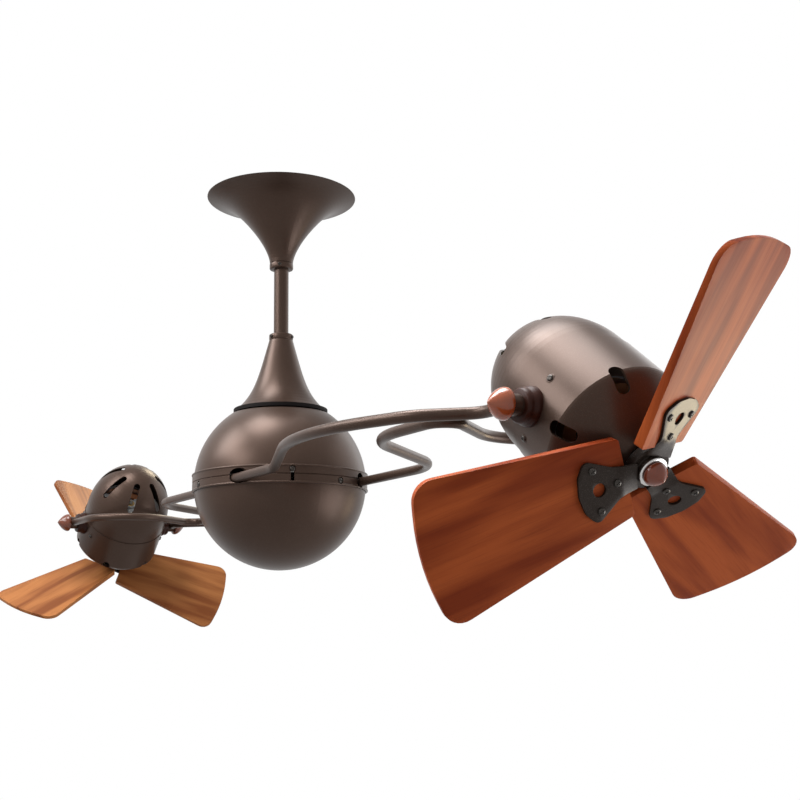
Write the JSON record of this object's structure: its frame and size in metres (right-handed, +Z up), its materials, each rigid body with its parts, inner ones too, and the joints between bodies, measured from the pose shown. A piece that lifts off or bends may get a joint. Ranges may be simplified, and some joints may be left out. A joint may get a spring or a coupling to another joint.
{
  "type": "twin head ceiling fan",
  "caption": "Ceiling fan with two tilting motor heads on bent arms that turn about a central sphere under a trumpet canopy; each head drives a wooden bladed fan.",
  "frame": {"origin": "centre of the two ceiling screws, on the ceiling plane above the spindle", "axes": "+Z up, +X along the arms towards the near head of the picture, +Y to complete the right-handed frame"},
  "size_m": [1.6049, 0.3925, 0.5596],
  "materials": {
    "plated_steel": "satin",
    "bare_steel": "satin",
    "black_steel": "satin",
    "black_plastic": "matte",
    "cream_plastic": "matte",
    "bronze_paint": "satin",
    "black_paint": "matte",
    "cast_metal": "satin",
    "bush_bronze": "satin",
    "core_steel": "satin",
    "copper_wire": "satin",
    "rotor_metal": "satin",
    "iron_paint": "satin",
    "dark_wood": "gloss",
    "glossy_wood": "gloss",
    "blade_wood": "satin"
  },
  "bodies": {
    "hanger": {"ceiling_bracket": "plated_steel", "hanger_ball": "black_plastic", "cross_pins": "bare_steel", "canopy": "bronze_paint", "rod_collars": "bronze_paint", "collar_screws": "black_steel", "drop_rod": "bronze_paint", "coupling": "plated_steel", "lower_cover": "bronze_paint", "shadow_ring": "black_paint", "spindle": "bare_steel", "slip_ring_drum": "cream_plastic", "spindle_nut": "bare_steel"},
    "carousel": {"carousel_hub": "cast_metal", "hub_bushes": "bush_bronze", "arm_clamps": "cast_metal", "clamp_screws": "bare_steel", "near_arms": "bronze_paint", "far_arms": "bronze_paint", "arm_eyes": "bronze_paint", "top_shell": "bronze_paint", "bottom_shell": "bronze_paint", "belt_upper": "bronze_paint", "belt_lower": "bronze_paint", "belt_screws": "black_steel", "brush_block": "black_plastic"},
    "right_head": {"right_dome": "bronze_paint", "right_cup": "bronze_paint", "right_case_screws": "black_steel", "right_stator": "core_steel", "right_windings": "copper_wire", "right_rear_bracket": "plated_steel", "right_bushes": "bush_bronze", "right_pivot_studs": "bare_steel", "right_pivot_spacers": "dark_wood", "right_pivot_knobs": "glossy_wood"},
    "right_fan": {"right_shaft": "bare_steel", "right_rotor": "rotor_metal", "right_blade_hub": "iron_paint", "right_blade_irons": "iron_paint", "right_blades": "blade_wood", "right_blade_screws": "black_steel", "right_finial": "glossy_wood"},
    "left_head": {"left_dome": "bronze_paint", "left_cup": "bronze_paint", "left_case_screws": "black_steel", "left_stator": "core_steel", "left_windings": "copper_wire", "left_rear_bracket": "plated_steel", "left_bushes": "bush_bronze", "left_pivot_studs": "bare_steel", "left_pivot_spacers": "dark_wood", "left_pivot_knobs": "glossy_wood"},
    "left_fan": {"left_shaft": "bare_steel", "left_rotor": "rotor_metal", "left_blade_hub": "iron_paint", "left_blade_irons": "iron_paint", "left_blades": "blade_wood", "left_blade_screws": "black_steel", "left_finial": "glossy_wood"}
  },
  "joints": [
    {"name": "carousel_turn", "type": "hinge", "parent": "hanger", "child": "carousel", "pos_m": [0, 0, -0.3805], "axis": [0, 0, 1], "continuous": true},
    {"name": "right_tilt", "type": "hinge", "parent": "carousel", "child": "right_head", "pos_m": [0.592, 0, -0.384], "axis": [0, 1, 0], "range_deg": [-39.6, 50.4]},
    {"name": "left_tilt", "type": "hinge", "parent": "carousel", "child": "left_head", "pos_m": [-0.592, 0, -0.384], "axis": [0, -1, 0], "range_deg": [-44.2, 45.8]},
    {"name": "right_spin", "type": "hinge", "parent": "right_head", "child": "right_fan", "pos_m": [0.592, 0, -0.384], "axis": [0.7705, 0, -0.6374], "continuous": true},
    {"name": "left_spin", "type": "hinge", "parent": "left_head", "child": "left_fan", "pos_m": [-0.592, 0, -0.384], "axis": [-0.7169, 0, -0.6972], "continuous": true}
  ]
}
